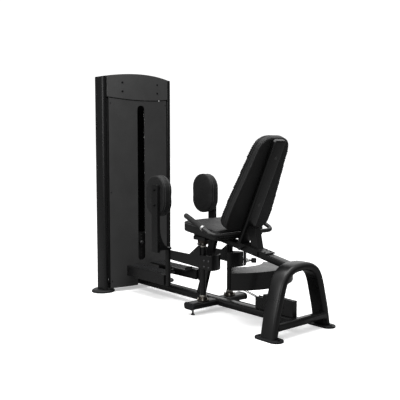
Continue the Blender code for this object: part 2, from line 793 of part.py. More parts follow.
# ---------------------------------------------------------------- backrest, on a carriage that slides on the seat rail
rail_dir = Vector((0, 1, SEAT_RAIL_SLOPE)).normalized()
carriage_axis = axis_empty("backrest_slide", (0, 0.300, rail_low(0.300) + SEAT_RAIL_H))


def rail_top(y):
    return rail_low(y) + SEAT_RAIL_H + 0.0006


carriage = solid(
    "backrest_carriage",
    prism([(0.196, rail_top(0.196)), (0.430, rail_top(0.430)), (0.430, rail_top(0.430) + 0.008), (0.196, rail_top(0.196) + 0.008)], "X", -0.0375, 0.0375),
    BLACK,
    carriage_axis,
)


def post_rear(z):
    return BACK_FOOT_Y - math.tan(BACK_TILT) * (z - BACK_FOOT_Z)


combine(
    carriage,
    "UNION",
    prism(
        [(0.268, rail_top(0.268) + 0.004), (0.318, rail_top(0.318) + 0.004), (post_rear(0.527) - 0.0008, 0.527), (post_rear(0.548) - 0.0008, 0.548), (0.296, 0.537)],
        "X",
        -0.0225,
        0.0225,
    ),
    *[
        prism([(0.262, rail_low(0.262) + 0.012), (0.418, rail_low(0.418) + 0.006), (0.418, rail_top(0.418) + 0.005), (0.262, rail_top(0.262) + 0.005)], "X", *sorted((s * (RAIL_HALF_X + 0.0010), s * 0.0374)))
        for s in (-1, 1)
    ],
)

back_up = Vector((0, -math.sin(BACK_TILT), math.cos(BACK_TILT)))
back_fwd = Vector((0, math.cos(BACK_TILT), math.sin(BACK_TILT)))
back_foot = Vector((0, BACK_FOOT_Y, BACK_FOOT_Z))


def on_back(x, s, n):
    return Vector((x, 0, 0)) + back_foot + back_up * s + back_fwd * n


post_low, post_high = 0.012, 0.634
bm = bmesh.new()
post_outline = [(x, BACK_POST_T / 2 + n) for x, n in rounded_rect(BACK_POST_W, BACK_POST_T, 0.010, 3)]


def carriage_top(y):
    return rail_top(y) + 0.008 + GAP


rings = []
low_ring = []
for x, n in post_outline:
    p = on_back(x, 0, n)
    # slide down the post until it meets the carriage's top
    for _ in range(30):
        p = p + back_up * ((carriage_top(p.y) - p.z) / back_up.z * 0.9)
    low_ring.append(p)
rings.append(low_ring)
for s in (0.10, post_high - 0.010, post_high):
    k = 0.82 if s == post_high else 1.0
    rings.append([on_back(x * k, s, BACK_POST_T / 2 + (n - BACK_POST_T / 2) * k) for x, n in post_outline])
post = solid("backrest_post", skin(bm, rings), BLACK, carriage_axis)
combine(post, "DIFFERENCE", rod((-0.06, HANDLE_Y, HANDLE_Z), (0.06, HANDLE_Y, HANDLE_Z), HANDLE_TUBE_R + 0.0006, 16))

pad_low, pad_high = 0.057, 0.634
pad_points = [(-0.162, pad_low), (0.162, pad_low), (0.157, pad_low + 0.14), (0.101, pad_high), (-0.101, pad_high), (-0.157, pad_low + 0.14)]


def back_outline(grow):
    pts = [(x + math.copysign(grow, x), s + (grow if s > 0.3 else -grow if s < 0.08 else 0)) for x, s in pad_points]
    return rounded_polygon(pts, [0.050, 0.050, 0.25, 0.070, 0.070, 0.25], 4)


bm = bmesh.new()
rings = []
for grow, n in ((-0.006, 0.0), (0.0, 0.004), (0.0, 0.036), (-0.004, 0.047), (-0.014, BACK_PAD_T)):
    rings.append([on_back(x, s, BACK_POST_T + GAP + 0.0002 + n) for x, s in back_outline(grow)])
solid("backrest_pad", skin(bm, rings), VINYL, carriage_axis)

# handle bar: one bent tube, in a plane that rises towards the front
def on_handle(x, y):
    return (x, y, HANDLE_Z + (y - HANDLE_Y) * HANDLE_SLOPE)


corner = 0.045
handle_path = [on_handle(-HANDLE_X, 0.641), on_handle(-HANDLE_X, HANDLE_Y + corner)]
for i in range(1, 6):
    a = math.pi + math.pi / 2 * i / 5
    handle_path.append(on_handle(-HANDLE_X + corner + corner * math.cos(a), HANDLE_Y + corner + corner * math.sin(a)))
handle_path = handle_path + [(-x, y, z) for x, y, z in reversed(handle_path)]
handle_up = Vector((0, -HANDLE_SLOPE, 1)).normalized()
solid("handle_bar", sweep(handle_path, circle(HANDLE_TUBE_R, 12), handle_up), BLACK, carriage_axis)

grip_dir = Vector((0, 1, HANDLE_SLOPE)).normalized()
grip_turn = Vector((0, 0, 1)).rotation_difference(grip_dir).to_matrix()
for side, sign in (("left", -1), ("right", 1)):
    start = Vector(on_handle(sign * HANDLE_X, 0.506))
    bore = HANDLE_TUBE_R + 0.0004
    length, end = 0.150, 0.156
    profile = [(bore, 0.0), (GRIP_R, 0.0), (GRIP_R, end - 0.004), (GRIP_R - 0.004, end), (0, end), (0, length - 0.004), (bore, length - 0.004)]
    solid(f"hand_grip_{side}", turned(profile, start, axis=grip_turn, n=14), RUBBER, carriage_axis)

# pull knob that locks the carriage on the rail
pin_y = 0.380
pull_axis = axis_empty("backrest_pin_slide", (-0.0378, pin_y, rail_low(pin_y) + 0.024), carriage_axis)
knob_profile = [(0, -0.0378), (0.0050, -0.0378), (0.0050, -0.0520), (0.0100, -0.0550), (0.0115, -0.0610), (0.0100, -0.0680), (0, -0.0700)]
solid(
    "backrest_pull_knob",
    turned([(r, -h) for r, h in knob_profile], (0, pin_y, rail_low(pin_y) + 0.024), axis=Matrix.Rotation(math.radians(-90), 3, "Y"), n=14),
    PLASTIC,
    pull_axis,
)

# ---------------------------------------------------------------- leg arms
def strap_mesh():
    """Left strap: flat past the pivot, then rolled round it on radius DRUM_R. It is taller at the rolled end."""
    path = [(-STRAP_X, POST_Y - POST_R - GAP, 0.2890, 0.3490), (-STRAP_X, 0.730, 0.2800, 0.3490), (-STRAP_X, 0.640, 0.2750, 0.3520), (-STRAP_X, 0.590, 0.2720, 0.3570)]
    mid = DRUM_R - STRAP_T / 2
    a0 = math.radians(-97)
    start = Vector((-PIVOT_X + mid * math.cos(a0), PIVOT_Y + mid * math.sin(a0)))
    # a short bend between the flat and the roll
    flat_end, corner_point = Vector((-STRAP_X, 0.5620)), Vector((-STRAP_X, 0.5450))
    for t in (0.0, 0.25, 0.5, 0.75):
        p = flat_end * (1 - t) ** 2 + corner_point * (2 * t * (1 - t)) + start * t * t
        path.append((p.x, p.y, 0.2710 - 0.001 * t, 0.3590 + 0.001 * t))
    for i in range(13):
        a = a0 + (DRUM_END - a0) * i / 12
        path.append((-PIVOT_X + mid * math.cos(a), PIVOT_Y + mid * math.sin(a), 0.2700, 0.3600))
    bm = bmesh.new()
    rings = []
    for i, (x, y, low, high) in enumerate(path):
        before = Vector(path[max(0, i - 1)][:2])
        after = Vector(path[min(len(path) - 1, i + 1)][:2])
        along = (after - before).normalized()
        side = Vector((-along.y, along.x)) * STRAP_T / 2
        rings.append([(x - side.x, y - side.y, low), (x + side.x, y + side.y, low), (x + side.x, y + side.y, high), (x - side.x, y - side.y, high)])
    return skin(bm, rings)


def sector(r0, r1, a0, a1, steps):
    angles = [a0 + (a1 - a0) * i / steps for i in range(steps + 1)]
    out = [(-PIVOT_X + r1 * math.cos(a), PIVOT_Y + r1 * math.sin(a)) for a in angles]
    return out + [(-PIVOT_X + r0 * math.cos(a), PIVOT_Y + r0 * math.sin(a)) for a in reversed(angles)]


def arm(side, sign):
    pivot = (sign * PIVOT_X, PIVOT_Y, 0)
    z = CROSSBAR_TOP_Z + 0.0003
    bearing = [(0, z), (0.037, z), (0.037, z + 0.005), (0.025, z + 0.0055), (0.025, z + 0.018), (0.020, z + 0.0225), (0, z + 0.0225)]
    solid(f"lower_bearing_{side}", turned(bearing, pivot, n=24), BRONZE)
    bearing = [(0, 0.4123), (0.0195, 0.4123), (0.0215, 0.4160), (0.0215, 0.4260), (0.0330, 0.4265), (0.0330, 0.4457), (0, 0.4457)]
    solid(f"upper_bearing_{side}", turned(bearing, pivot, n=24), BRONZE)

    swing = axis_empty(f"{side}_arm_axis", pivot)
    solid(f"{side}_pivot_sleeve", turned([(0, z + 0.0228), (SLEEVE_R, z + 0.0228), (SLEEVE_R, 0.4120), (0, 0.4120)], pivot, n=20), BLACK, swing)

    # web between the sleeve and the rolled end of the strap
    web = prism(sector(SLEEVE_R + 0.0004, DRUM_R - STRAP_T - GAP, math.radians(-98), DRUM_END, 9), "Z", 0.2900, 0.2960)
    if sign > 0:
        web = mirrored(web)
    solid(f"{side}_pivot_web", web, BLACK, swing)

    # strap, with a gusset standing on it
    bent = strap_mesh()
    gusset = prism([(0.748, 0.3470), (0.664, 0.4090), (0.644, 0.4090), (0.644, 0.3480)], "X", -STRAP_X - STRAP_T / 2, -STRAP_X + STRAP_T / 2)
    if sign > 0:
        bent, gusset = mirrored(bent), mirrored(gusset)
    combine(solid(f"{side}_arm_strap", bent, BLACK, swing), "UNION", gusset)

    post_bm = turned([(0, POST_BOTTOM_Z), (POST_R, POST_BOTTOM_Z), (POST_R, POST_TOP_Z), (0, POST_TOP_Z)], (sign * POST_X, POST_Y, 0), n=18)
    solid(f"{side}_end_post", post_bm, BLACK, swing)

    # foot rest: a box beam ahead of the post with a flat tread on its inner side
    y0, y1 = POST_Y + POST_R + GAP, 1.387
    beam = box((-0.1600, y0, 0.1180), (-0.1120, y1, 0.1860), 0.003)
    tread = box((-0.1560, y0 + 0.030, 0.1780), (-0.0440, y1 + 0.006, 0.1885), 0.002)
    lip = prism([(y0 + 0.030, 0.180), (y0 + 0.037, 0.180), (y0 + 0.043, 0.205), (y0 + 0.038, 0.205)], "X", -0.108, -0.048)
    if sign > 0:
        beam, tread, lip = mirrored(beam), mirrored(tread), mirrored(lip)
    rest = solid(f"{side}_foot_rest", beam, BLACK, swing)
    combine(rest, "UNION", tread, lip)

    # knee pad on a bracket that swivels on the end post
    knee = axis_empty(f"{side}_knee_axis", (sign * POST_X, POST_Y, POST_TOP_Z), swing)
    cap = turned([(0, POST_TOP_Z + GAP), (0.0235, POST_TOP_Z + GAP), (0.0235, 0.3625), (0.0200, 0.3660), (0, 0.3660)], (-POST_X, POST_Y, 0), n=20)
    plate_y0, plate_y1 = 0.920, 0.980
    x_out, x_in = -PAD_OUT_X - 0.0210, -PAD_OUT_X - GAP
    bottom = 0.3440
    bar_bm = prism(rounded_polygon([(plate_y0, bottom), (plate_y1, bottom), (plate_y1, 0.768), (plate_y0, 0.768)], [0.002, 0.002, 0.012, 0.012], 2), "X", x_out, x_in)
    curve = [(x_in + 0.001, 0.505)]
    for i in range(1, 6):
        a = math.radians(90) * i / 6
        curve.append((x_in + 0.001 + 0.077 * (1 - math.cos(a)), 0.505 - 0.137 * math.sin(a)))
    gusset = prism([(x_out + 0.001, 0.3560), (-POST_X - 0.012, 0.3560), (-POST_X - 0.012, 0.3660)] + curve[::-1] + [(x_out + 0.001, 0.505)], "Y", plate_y0 + 0.001, plate_y0 + 0.011)
    foot = box((x_out + 0.001, plate_y0 + 0.001, 0.3560), (-POST_X - 0.004, plate_y1 - 0.012, 0.3640))
    if sign > 0:
        cap, bar_bm, gusset, foot = (mirrored(b) for b in (cap, bar_bm, gusset, foot))
    bracket = solid(f"{side}_knee_bracket", bar_bm, BLACK, knee)
    combine(bracket, "UNION", foot, gusset, cap)

    pad = bmesh.new()
    rings = []
    for grow, x in ((-0.003, PAD_OUT_X), (0.0, PAD_OUT_X - 0.004), (0.0, PAD_IN_X + 0.016), (-0.005, PAD_IN_X + 0.005), (-0.016, PAD_IN_X)):
        outline = rounded_rect(PAD_W + 2 * grow, PAD_H + 2 * grow, 0.088, 6)
        rings.append([(sign * x, PAD_Y + y, PAD_Z + z) for y, z in outline])
    solid(f"{side}_knee_pad", skin(pad, rings), VINYL, knee)
    return swing


left_swing = arm("left", -1)
right_swing = arm("right", 1)

# start-position sector: a second curved plate outside the right strap, with its selector at the end
shell_a0, shell_a1 = math.radians(-73), math.radians(-33)


def right_sector(r0, r1, steps):
    angles = [shell_a0 + (shell_a1 - shell_a0) * i / steps for i in range(steps + 1)]
    out = [(PIVOT_X + r1 * math.cos(a), PIVOT_Y + r1 * math.sin(a)) for a in angles]
    return out + [(PIVOT_X + r0 * math.cos(a), PIVOT_Y + r0 * math.sin(a)) for a in reversed(angles)]


plate_x = STRAP_X + STRAP_T / 2 + GAP
start_sector = solid("start_position_sector", prism(right_sector(DRUM_R - STRAP_T, DRUM_R, 8), "Z", 0.2700, 0.3600), BLACK, right_swing)
web_outline = [(plate_x, 0.560), (plate_x + 0.006, 0.551), (0.160, 0.5660), (0.191, 0.5900), (0.188, 0.6000), (plate_x, 0.6200)]
combine(start_sector, "UNION", prism(web_outline, "Z", 0.3000, 0.3080))

sector_angle = math.radians(-50)
sx, sy, sz = PIVOT_X + DRUM_R * math.cos(sector_angle), PIVOT_Y + DRUM_R * math.sin(sector_angle), 0.298
out_turn = Vector((0, 0, 1)).rotation_difference(Vector((math.cos(sector_angle), math.sin(sector_angle), 0))).to_matrix()
housing_profile = [(0.0065, 0.0009), (0.0150, 0.0009), (0.0150, 0.0060), (0.0100, 0.0085), (0.0100, 0.0200), (0.0065, 0.0200)]
solid("start_selector_housing", turned(housing_profile, (sx, sy, sz), axis=out_turn, n=16), CHROME, right_swing)
knob_axis = axis_empty("start_knob_slide", (sx, sy, sz), right_swing)
knob = solid("start_selector_knob", turned([(0, 0.0012), (0.0060, 0.0012), (0.0060, 0.0400), (0, 0.0400)], (sx, sy, sz), axis=out_turn, n=12), PLASTIC, knob_axis)
handle = box((-0.0120, -0.0130, 0.0300), (0.0120, 0.0130, 0.0620), 0.003)
bmesh.ops.transform(handle, matrix=Matrix.Translation((sx, sy, sz)) @ out_turn.to_4x4(), verts=handle.verts)
combine(knob, "UNION", handle)
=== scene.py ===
import json
import math

import bmesh
import bpy
from mathutils import Matrix, Vector, noise
from mathutils.bvhtree import BVHTree

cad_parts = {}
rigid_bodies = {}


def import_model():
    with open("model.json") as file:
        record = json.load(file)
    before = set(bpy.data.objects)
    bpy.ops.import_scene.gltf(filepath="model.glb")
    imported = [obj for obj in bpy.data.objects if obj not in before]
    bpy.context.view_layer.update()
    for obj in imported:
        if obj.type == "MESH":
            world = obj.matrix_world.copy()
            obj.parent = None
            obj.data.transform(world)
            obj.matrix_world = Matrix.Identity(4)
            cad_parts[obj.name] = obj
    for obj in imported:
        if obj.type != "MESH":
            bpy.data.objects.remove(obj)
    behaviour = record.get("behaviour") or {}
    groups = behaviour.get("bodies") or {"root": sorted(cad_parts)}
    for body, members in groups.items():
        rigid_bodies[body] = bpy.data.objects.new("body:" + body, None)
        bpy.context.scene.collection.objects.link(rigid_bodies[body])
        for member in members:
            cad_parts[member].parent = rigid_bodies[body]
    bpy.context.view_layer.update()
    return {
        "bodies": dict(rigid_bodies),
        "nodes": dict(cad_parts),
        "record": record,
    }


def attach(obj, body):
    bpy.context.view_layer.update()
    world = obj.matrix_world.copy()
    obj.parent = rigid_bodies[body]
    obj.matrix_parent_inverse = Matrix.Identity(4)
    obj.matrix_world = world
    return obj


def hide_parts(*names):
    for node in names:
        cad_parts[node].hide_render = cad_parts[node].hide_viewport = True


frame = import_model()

OY = -0.7605  # the frame's Y of the rear arch; positions below are written with Y = 0 there
scene = bpy.context.scene
BODY = {name: next(b for b, e in frame["bodies"].items() if e == node.parent) for name, node in frame["nodes"].items()}
SLOT = {p["node"]: p["material_slot"] for p in frame["record"]["subparts"]}


def at(x, y, z):
    return Vector((x, y + OY, z))


# ================================================================ materials
class Nodes:
    """A short way to write a node tree."""

    def __init__(self, name):
        self.mat = bpy.data.materials.new(name)
        self.mat.use_nodes = True
        self.tree = self.mat.node_tree
        self.shader = next(n for n in self.tree.nodes if n.type == "BSDF_PRINCIPLED")
        self.coords = self.add("ShaderNodeTexCoord").outputs["Object"]

    def add(self, kind, **settings):
        node = self.tree.nodes.new(kind)
        for key, value in settings.items():
            setattr(node, key, value)
        return node

    def put(self, socket, value):
        if isinstance(value, bpy.types.NodeSocket):
            self.tree.links.new(value, socket)
        else:
            socket.default_value = value

    def noise(self, scale, detail=2.0, rough=0.5, stretch=None):
        node = self.add("ShaderNodeTexNoise")
        source = self.coords
        if stretch:
            mapping = self.add("ShaderNodeMapping")
            mapping.inputs["Scale"].default_value = stretch
            self.put(mapping.inputs["Vector"], source)
            source = mapping.outputs[0]
        self.put(node.inputs["Vector"], source)
        node.inputs["Scale"].default_value = scale
        node.inputs["Detail"].default_value = detail
        node.inputs["Roughness"].default_value = rough
        return node.outputs["Fac"]

    def spread(self, value, a, b, low, high):
        """value from a..b mapped to low..high."""
        node = self.add("ShaderNodeMapRange")
        self.put(node.inputs["Value"], value)
        for key, number in (("From Min", a), ("From Max", b), ("To Min", low), ("To Max", high)):
            node.inputs[key].default_value = number
        return node.outputs["Result"]

    def math(self, op, a, b=0.0):
        node = self.add("ShaderNodeMath", operation=op)
        self.put(node.inputs[0], a)
        self.put(node.inputs[1], b)
        return node.outputs[0]

    def mix(self, factor, a, b):
        node = self.add("ShaderNodeMix", data_type="RGBA")
        self.put(node.inputs["Factor"], factor)
        self.put(node.inputs["A"], a if isinstance(a, bpy.types.NodeSocket) else (*a, 1))
        self.put(node.inputs["B"], b if isinstance(b, bpy.types.NodeSocket) else (*b, 1))
        return node.outputs["Result"]

    def bump(self, height, distance, strength=1.0, under=None):
        node = self.add("ShaderNodeBump")
        self.put(node.inputs["Height"], height)
        node.inputs["Distance"].default_value = distance
        node.inputs["Strength"].default_value = strength
        if under is not None:
            self.put(node.inputs["Normal"], under)
        return node.outputs["Normal"]

    def rounded(self, radius):
        node = self.add("ShaderNodeBevel", samples=4)
        node.inputs["Radius"].default_value = radius
        return node.outputs["Normal"]

    def edges(self, normal):
        """1 on a sharp edge, 0 on a face."""
        geometry = self.add("ShaderNodeNewGeometry").outputs["Normal"]
        dot = self.add("ShaderNodeVectorMath", operation="DOT_PRODUCT")
        self.put(dot.inputs[0], normal)
        self.put(dot.inputs[1], geometry)
        return self.spread(dot.outputs["Value"], 0.985, 0.86, 0.0, 1.0)


def grey(value, tint=(1.0, 1.0, 1.0)):
    return tuple(value * t for t in tint)


def powder_coat(name, tone, rough, tint=(1.0, 1.0, 1.03), radius=0.0016):
    """Satin powder paint: a fine orange-peel skin, cloudy gloss, and edges rubbed paler."""
    n = Nodes(name)
    normal = n.rounded(radius)
    wear = n.math("MULTIPLY", n.edges(normal), n.spread(n.noise(55, 4, 0.65), 0.50, 0.66, 0.0, 1.0))
    cloud = n.spread(n.noise(7, 3, 0.55), 0.3, 0.7, 0.0, 1.0)
    speck = n.spread(n.noise(1400, 1), 0.35, 0.65, 0.0, 1.0)
    base = n.mix(cloud, grey(tone * 0.90, tint), grey(tone * 1.12, tint))
    base = n.mix(n.math("MULTIPLY", speck, 0.25), base, grey(tone * 1.9, tint))
    base = n.mix(n.math("MULTIPLY", wear, 0.30), base, grey(tone * 3.0 + 0.010, tint))
    n.put(n.shader.inputs["Base Color"], base)
    n.put(n.shader.inputs["Roughness"], n.math("SUBTRACT", n.spread(n.noise(16, 3, 0.6), 0.3, 0.7, rough - 0.04, rough + 0.05), n.math("MULTIPLY", wear, 0.05)))
    n.shader.inputs["Specular IOR Level"].default_value = 0.36
    peel = n.bump(n.noise(620, 2, 0.5), 0.00030, 0.42, normal)
    n.put(n.shader.inputs["Normal"], n.bump(n.noise(2300, 1, 0.5), 0.00010, 0.35, peel))
    return n.mat


def vinyl(name, tone, rough):
    """Upholstery vinyl: pebbled grain, painted shade in the recesses between the pebbles, and a slow unevenness in
    gloss.
    """
    n = Nodes(name)
    warp = n.add("ShaderNodeMix", data_type="VECTOR")
    cells = n.add("ShaderNodeTexVoronoi", feature="DISTANCE_TO_EDGE")
    jitter = n.add("ShaderNodeTexNoise")
    n.put(jitter.inputs["Vector"], n.coords)
    jitter.inputs["Scale"].default_value = 260
    warp.inputs["Factor"].default_value = 0.0025
    n.put(warp.inputs["A"], n.coords)
    n.put(warp.inputs["B"], jitter.outputs["Color"])
    n.put(cells.inputs["Vector"], warp.outputs["Result"])
    cells.inputs["Scale"].default_value = 520
    pebble = n.spread(cells.outputs["Distance"], 0.0, 0.22, 0.0, 1.0)
    slow = n.spread(n.noise(11, 3, 0.6), 0.3, 0.7, 0.0, 1.0)
    base = n.mix(slow, grey(tone * 0.88, (1, 1, 1.02)), grey(tone * 1.14, (1, 1, 1.02)))
    # painted shade: the colour is darkened along the low recesses between the pebbles, where the grain falls into shade
    base = n.mix(n.spread(pebble, 0.0, 0.45, 0.55, 0.0), base, grey(tone * 0.35))
    n.put(n.shader.inputs["Base Color"], base)
    n.put(n.shader.inputs["Roughness"], n.math("ADD", n.spread(slow, 0, 1, rough - 0.04, rough + 0.05), n.spread(pebble, 0, 1, 0.10, 0.0)))
    n.shader.inputs["Specular IOR Level"].default_value = 0.26
    n.shader.inputs["Sheen Weight"].default_value = 0.06
    n.shader.inputs["Sheen Roughness"].default_value = 0.45
    grain = n.bump(pebble, 0.00035, 0.55)
    grain = n.bump(n.noise(95, 4, 0.6), 0.0011, 0.35, grain)
    n.put(n.shader.inputs["Normal"], grain)
    return n.mat


def rubber(name, tone, rough, tint=(1.0, 1.0, 1.0), ribs=None):
    n = Nodes(name)
    normal = n.rounded(0.0012)
    speck = n.spread(n.noise(900, 2), 0.4, 0.7, 0.0, 1.0)
    scuff = n.spread(n.noise(38, 5, 0.7, (1, 1, 0.4)), 0.52, 0.72, 0.0, 1.0)
    base = n.mix(n.math("MULTIPLY", speck, 0.4), grey(tone, tint), grey(tone * 1.7, tint))
    base = n.mix(n.math("MULTIPLY", scuff, 0.45), base, grey(tone * 2.2 + 0.004, tint))
    n.put(n.shader.inputs["Base Color"], base)
    n.put(n.shader.inputs["Roughness"], n.spread(scuff, 0, 1, rough, rough + 0.12))
    n.shader.inputs["Specular IOR Level"].default_value = 0.24
    n.put(n.shader.inputs["Normal"], n.bump(n.noise(1100, 3, 0.6), 0.00022, 0.6, normal))
    return n.mat


def metal(name, colour, rough, streak=(1, 1, 0.06), wear=0.0):
    """Bare or plated steel with drawn streaks, and dull patches where wear is over 0."""
    n = Nodes(name)
    normal = n.rounded(0.0006)
    n.shader.inputs["Metallic"].default_value = 1.0
    streaks = n.noise(900, 3, 0.6, streak)
    patch = n.spread(n.noise(140, 4, 0.65), 0.45, 0.7, 0.0, 1.0)
    base = n.mix(n.spread(streaks, 0.3, 0.7, 0.0, 1.0), tuple(0.86 * c for c in colour), colour)
    base = n.mix(n.math("MULTIPLY", patch, wear), base, tuple(0.32 * c for c in colour))
    n.put(n.shader.inputs["Base Color"], base)
    n.put(n.shader.inputs["Roughness"], n.math("ADD", n.spread(streaks, 0.3, 0.7, rough * 0.8, rough * 1.25), n.math("MULTIPLY", patch, 0.20 * wear + 0.02)))
    n.put(n.shader.inputs["Normal"], n.bump(streaks, 0.00012, 0.25, normal))
    return n.mat


def plastic(name, tone, rough, tint=(1.0, 1.0, 1.0)):
    n = Nodes(name)
    normal = n.rounded(0.0009)
    spark = n.noise(1600, 2, 0.5)
    patch = n.spread(n.noise(24, 3, 0.6), 0.3, 0.7, 0.0, 1.0)
    base = n.mix(patch, grey(tone * 0.9, tint), grey(tone * 1.12, tint))
    n.put(n.shader.inputs["Base Color"], base)
    n.put(n.shader.inputs["Roughness"], n.spread(patch, 0, 1, rough - 0.04, rough + 0.05))
    n.shader.inputs["Specular IOR Level"].default_value = 0.40
    n.put(n.shader.inputs["Normal"], n.bump(spark, 0.00016, 0.45, normal))
    return n.mat


MAT = {
    "powder_black": powder_coat("Powder_black", 0.0046, 0.29),
    "panel_grey": powder_coat("Panel_charcoal", 0.0340, 0.42, (1.0, 1.0, 1.0)),
    "vinyl_black": vinyl("Vinyl_black", 0.0066, 0.46),
    "rubber_black": rubber("Rubber_black", 0.0085, 0.58, (1.0, 1.03, 1.12)),
    "plastic_dark": plastic("Plastic_dark", 0.0090, 0.42, (1.0, 1.02, 1.08)),
    "chrome": metal("Chrome", (0.80, 0.80, 0.79), 0.14),
    "bearing_steel": metal("Bearing_steel", (0.060, 0.052, 0.045), 0.34, (1, 1, 0.3), 0.75),
    "stack_iron": powder_coat("Stack_iron", 0.0060, 0.50, radius=0.0009),
    "cable_black": plastic("Cable_jacket", 0.0110, 0.34),
}
# painted light: a lighter copy of the charcoal panel paint for the header, standing in for the brighter light that
# falls on the top of the tower
MAT["header"] = powder_coat("Header_charcoal_painted_light", 0.0420, 0.40, (1.0, 1.0, 1.0))
MAT["foam"] = rubber("Grip_foam", 0.0200, 0.72)
MAT["thread"] = vinyl("Piping", 0.0340, 0.36)
MAT["bolt"] = metal("Bolt_blackened", (0.018, 0.018, 0.019), 0.36, (1, 1, 1), 0.2)
MAT["bolt_worn"] = metal("Bolt_satin", (0.110, 0.110, 0.114), 0.36, (1, 1, 1), 0.3)
MAT["zinc"] = metal("Zinc_plate", (0.62, 0.59, 0.53), 0.27, (1, 1, 0.4), 0.35)
MAT["cover"] = plastic("Bolt_cover", 0.045, 0.45)
MAT["label"] = plastic("Plate_number_tag", 0.022, 0.40)


# ================================================================ carrying CAD nodes over
def smooth(mesh, angle=34.0):
    for polygon in mesh.polygons:
        polygon.use_smooth = True
    mesh.set_sharp_from_angle(angle=math.radians(angle))


def welded(node):
    """A bmesh of a CAD node with its corners joined and its flat faces whole."""
    bm = bmesh.new()
    bm.from_mesh(frame["nodes"][node].data)
    bmesh.ops.remove_doubles(bm, verts=bm.verts, dist=2e-5)
    bmesh.ops.dissolve_degenerate(bm, dist=1e-6, edges=bm.edges)
    bmesh.ops.dissolve_limit(bm, angle_limit=math.radians(0.4), verts=bm.verts, edges=bm.edges, delimit=set())
    bmesh.ops.recalc_face_normals(bm, faces=bm.faces)
    return bm


def place(name, bm, material, body, angle=34.0):
    mesh = bpy.data.meshes.new(name)
    bm.to_mesh(mesh)
    bm.free()
    smooth(mesh, angle)
    obj = bpy.data.objects.new(name, mesh)
    scene.collection.objects.link(obj)
    mesh.materials.append(MAT[material])
    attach(obj, body)
    return obj


def carry(node, edge=0.0012, material=None, segments=2, angle=34.0):
    """The CAD node with rounded edges and its finish."""
    obj = place(f"{node}_finished", welded(node), material or SLOT[node], BODY[node], angle)
    if edge:
        bevel = obj.modifiers.new("edges", "BEVEL")
        bevel.width = edge
        bevel.segments = segments
        bevel.limit_method = "ANGLE"
        bevel.angle_limit = math.radians(angle)
        bevel.use_clamp_overlap = True
        bevel.harden_normals = True
    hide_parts(node)
    return obj


# ================================================================ small turned parts
def frame_to(axis):
    axis = Vector(axis).normalized()
    return Vector((0, 0, 1)).rotation_difference(axis).to_matrix().to_4x4()


def lathe(bm, profile, origin, axis=(0, 0, 1), steps=28, flats=None):
    """profile is (radius, height) from the axis out and back; flats turns it into a nut."""
    move = Matrix.Translation(Vector(origin)) @ frame_to(axis)
    rings = []
    for radius, height in profile:
        if radius < 1e-6:
            rings.append([bm.verts.new(move @ Vector((0, 0, height)))])
            continue
        ring = []
        for i in range(steps):
            a = 2 * math.pi * i / steps
            r = radius
            if flats:
                part = (a % (2 * math.pi / flats)) - math.pi / flats
                r = min(radius, flats_radius(radius, flats) / math.cos(part))
            ring.append(bm.verts.new(move @ Vector((r * math.cos(a), r * math.sin(a), height))))
        rings.append(ring)
    for low, high in zip(rings, rings[1:]):
        for i in range(steps):
            j = (i + 1) % steps
            a, b = low[i % len(low)], low[j % len(low)]
            c, d = high[j % len(high)], high[i % len(high)]
            corners = [v for k, v in enumerate((a, b, c, d)) if v not in (a, b, c, d)[:k]]
            if len(corners) > 2:
                bm.faces.new(corners)


def flats_radius(radius, flats):
    return radius * math.cos(math.pi / flats) * 1.02


def button_head(bm, origin, axis, r=0.0065, h=0.0038):
    """A domed socket-head screw with a round recess in its top."""
    dome = [(0, -0.0005), (r, -0.0005), (r, 0.0006)]
    for i in range(1, 6):
        a = math.pi / 2 * i / 6
        dome.append((r * (0.38 + 0.62 * math.cos(a)), 0.0006 + (h - 0.0006) * math.sin(a)))
    dome += [(r * 0.44, h), (r * 0.40, h * 0.93), (r * 0.40, h * 0.35), (0, h * 0.30)]
    lathe(bm, dome, origin, axis, 24)


def hex_bolt(bm, origin, axis, r=0.0085, h=0.0055, washer=True):
    z = 0.0
    if washer:
        lathe(bm, [(0, 0), (r * 1.22, 0), (r * 1.22, 0.0012), (r * 1.16, 0.0015), (0, 0.0015)], origin, axis, 28)
        z = 0.0014
    lathe(bm, [(0, z), (r, z), (r, z + h * 0.82), (r * 0.90, z + h), (0, z + h * 0.97)], origin, axis, 36, 6)


def nut_and_stud(bm, origin, axis, r=0.0085):
    hex_bolt(bm, origin, axis, r, 0.0065)
    lathe(bm, [(0, 0.006), (r * 0.52, 0.006), (r * 0.52, 0.0118), (r * 0.42, 0.0130), (0, 0.0130)], origin, axis, 20)


def group(name, material, body, build, edge=0.0):
    bm = bmesh.new()
    build(bm)
    bmesh.ops.recalc_face_normals(bm, faces=bm.faces)
    return place(name, bm, material, body)


# ================================================================ padded pieces
def resample(points, count):
    """A closed line through points, with count points the same distance apart."""
    loop = points + [points[0]]
    lengths = [(b - a).length for a, b in zip(loop, loop[1:])]
    total = sum(lengths)
    out, i, gone = [], 0, 0.0
    for k in range(count):
        want = total * k / count
        while gone + lengths[i] < want:
            gone += lengths[i]
            i += 1
        out.append(loop[i].lerp(loop[i + 1], (want - gone) / max(lengths[i], 1e-9)))
    return out


def tube(bm, path, radius, steps=8):
    """A closed tube along a closed path."""
    rings = []
    n = len(path)
    for i, p in enumerate(path):
        along = (path[(i + 1) % n] - path[i - 1]).normalized()
        side = along.cross(Vector((0.31, 0.17, 0.93))).normalized()
        up = side.cross(along)
        rings.append([bm.verts.new(p + radius * (math.cos(2 * math.pi * k / steps) * side + math.sin(2 * math.pi * k / steps) * up)) for k in range(steps)])
    # each ring is turned to match the one before it
    for i in range(n):
        a, b = rings[i], rings[(i + 1) % n]
        shift = min(range(steps), key=lambda s: (b[s].co - a[0].co).length)
        for k in range(steps):
            bm.faces.new((a[k], a[(k + 1) % steps], b[(k + 1 + shift) % steps], b[(k + shift) % steps]))


